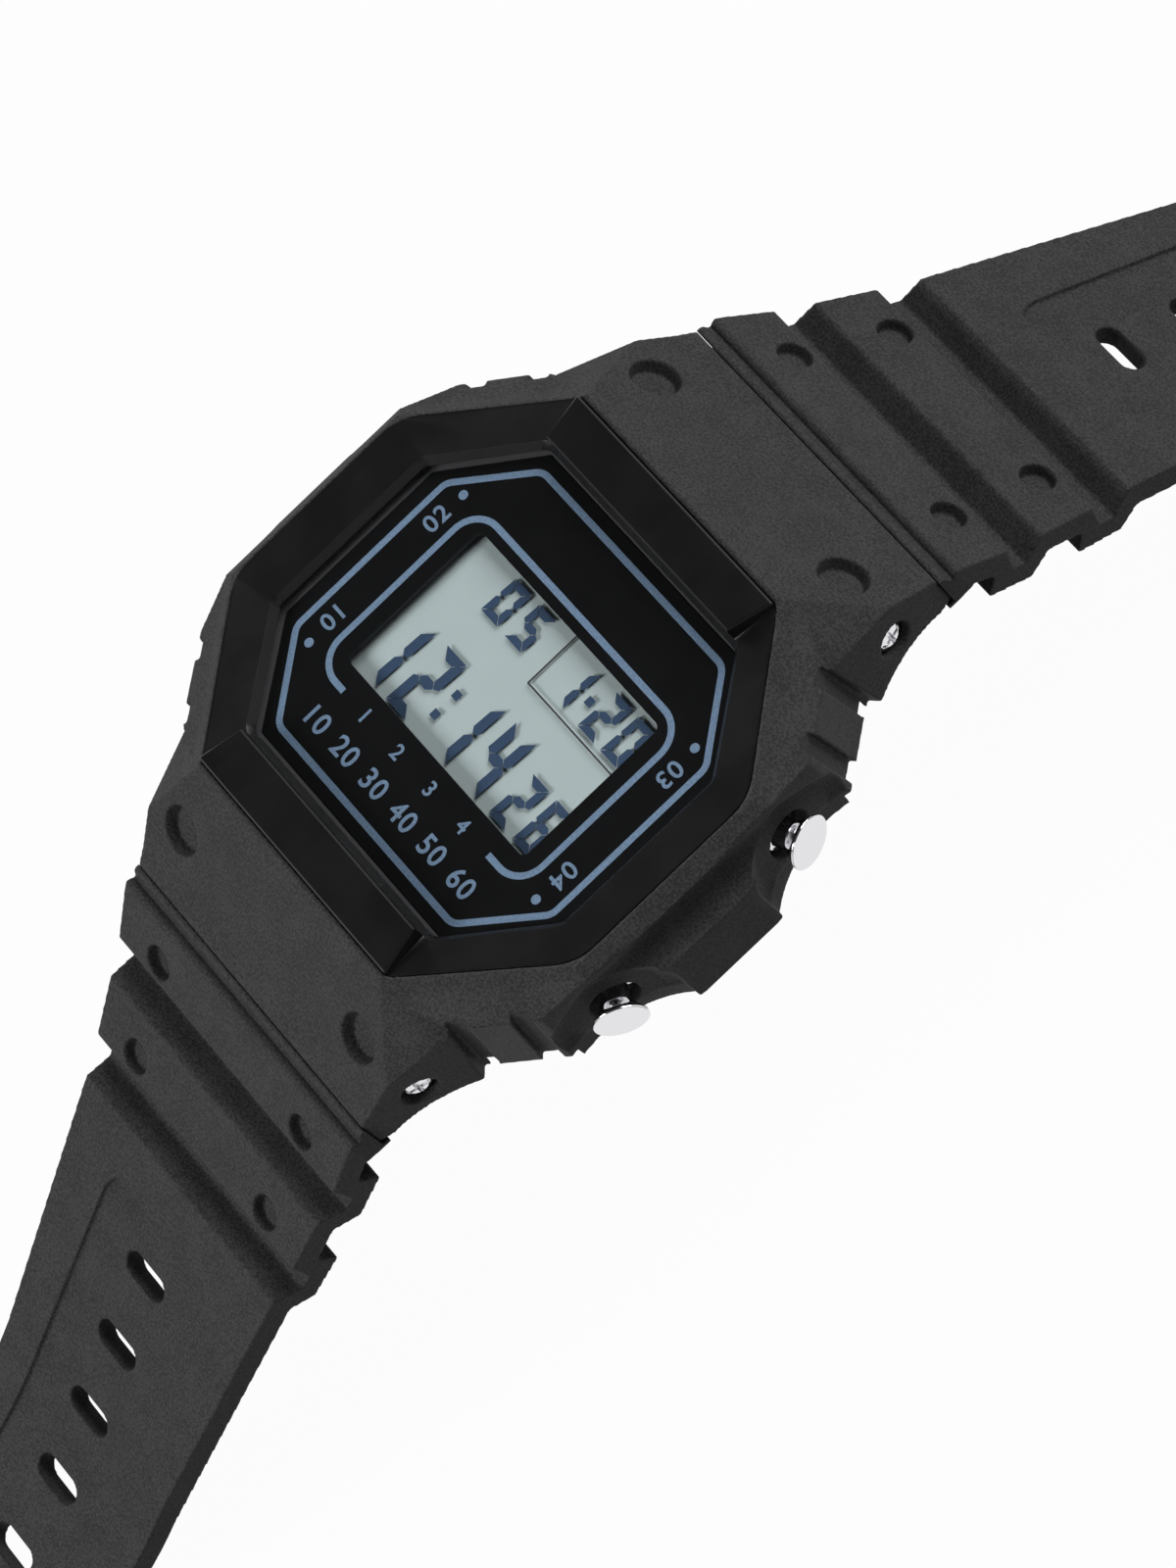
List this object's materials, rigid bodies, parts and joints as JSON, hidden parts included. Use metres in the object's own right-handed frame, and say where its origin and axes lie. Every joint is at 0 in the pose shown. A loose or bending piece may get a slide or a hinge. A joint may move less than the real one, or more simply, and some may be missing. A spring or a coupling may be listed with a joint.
{
  "type": "digital watch",
  "caption": "Square digital wristwatch: octagonal ring, resin shroud, push buttons at the sides, ribbed slotted resin strap laid open, steel buckle and keeper.",
  "frame": {"origin": "centre of the case back's outer face", "axes": "+Z the way the display faces, +Y towards 12 o'clock, +X towards 3 o'clock"},
  "size_m": [0.0424, 0.2179, 0.0418],
  "materials": {
    "resin": "fine matte grain",
    "case_plastic": "matte",
    "ring_gloss": "satin gloss",
    "crystal": "clear",
    "seal_rubber": "matte",
    "mask_print": "printed",
    "display_glass": "satin",
    "clear_plastic": "clear",
    "module_plastic": "matte",
    "board_green": "lacquered",
    "chip_resin": "matte",
    "contact_rubber": "striped",
    "spring_metal": "drawn",
    "contact_brass": "satin",
    "cell_steel": "satin",
    "steel": "brushed",
    "polished_steel": "polished"
  },
  "bodies": {
    "case": {"case_body": "case_plastic", "bezel_shroud": "resin", "bezel_ring": "ring_gloss", "crystal": "crystal", "crystal_gasket": "seal_rubber", "dial_mask": "mask_print", "lcd_panel": "display_glass", "light_guide": "clear_plastic", "backlight_lamp": "clear_plastic", "contact_strips": "contact_rubber", "module_holder": "module_plastic", "circuit_board": "board_green", "chip": "chip_resin", "timing_can": "cell_steel", "switch_contacts": "contact_brass", "battery": "cell_steel", "battery_tray": "module_plastic", "battery_clip": "spring_metal", "alarm_disc": "contact_brass", "case_back": "steel", "case_back_gasket": "seal_rubber", "case_back_screws": "steel", "bezel_screws": "polished_steel", "spring_bar_12": "steel", "spring_bar_6": "steel", "button_spring_mode": "spring_metal", "button_spring_reset": "spring_metal", "button_spring_light": "spring_metal", "button_spring_start": "spring_metal"},
    "strap_12": {"strap_12": "resin", "buckle_pin": "steel"},
    "strap_6": {"strap_6": "resin"},
    "buckle": {"buckle_frame": "polished_steel"},
    "tongue": {"buckle_tongue": "polished_steel"},
    "keeper": {"strap_keeper": "resin"},
    "button_mode": {"button_mode": "polished_steel", "button_seal_mode": "seal_rubber", "button_clip_mode": "spring_metal"},
    "button_reset": {"button_reset": "polished_steel", "button_seal_reset": "seal_rubber", "button_clip_reset": "spring_metal"},
    "button_light": {"button_light": "polished_steel", "button_seal_light": "seal_rubber", "button_clip_light": "spring_metal"},
    "button_start": {"button_start": "polished_steel", "button_seal_start": "seal_rubber", "button_clip_start": "spring_metal"}
  },
  "joints": [
    {"name": "strap_12_hinge", "type": "hinge", "parent": "case", "child": "strap_12", "pos_m": [0, 0.021, 0.0033], "axis": [-1, 0, 0], "range_deg": [0, 35]},
    {"name": "strap_6_hinge", "type": "hinge", "parent": "case", "child": "strap_6", "pos_m": [0, -0.021, 0.0033], "axis": [1, 0, 0], "range_deg": [0, 35]},
    {"name": "buckle_hinge", "type": "hinge", "parent": "strap_12", "child": "buckle", "pos_m": [0, 0.08429, -0.02642], "axis": [1, 0, 0], "range_deg": [-60, 60]},
    {"name": "tongue_hinge", "type": "hinge", "parent": "buckle", "child": "tongue", "pos_m": [0, 0.08429, -0.02642], "axis": [1, 0, 0], "range_deg": [0, 45]},
    {"name": "keeper_slide", "type": "slide", "parent": "strap_12", "child": "keeper", "axis": [0, 1, 0], "range_m": [0, 0.003]},
    {"name": "mode_press", "type": "slide", "parent": "case", "child": "button_mode", "axis": [0.9272, 0.3746, 0], "range_m": [0, 0.0008], "stiffness_N_per_m": 1500, "springref_m": -0.0006},
    {"name": "reset_press", "type": "slide", "parent": "case", "child": "button_reset", "axis": [0.9272, -0.3746, 0], "range_m": [0, 0.0008], "stiffness_N_per_m": 1500, "springref_m": -0.0006},
    {"name": "light_press", "type": "slide", "parent": "case", "child": "button_light", "axis": [-0.9272, -0.3746, 0], "range_m": [0, 0.0008], "stiffness_N_per_m": 1500, "springref_m": -0.0006},
    {"name": "start_press", "type": "slide", "parent": "case", "child": "button_start", "axis": [-0.9272, 0.3746, 0], "range_m": [0, 0.0008], "stiffness_N_per_m": 1500, "springref_m": -0.0006}
  ]
}
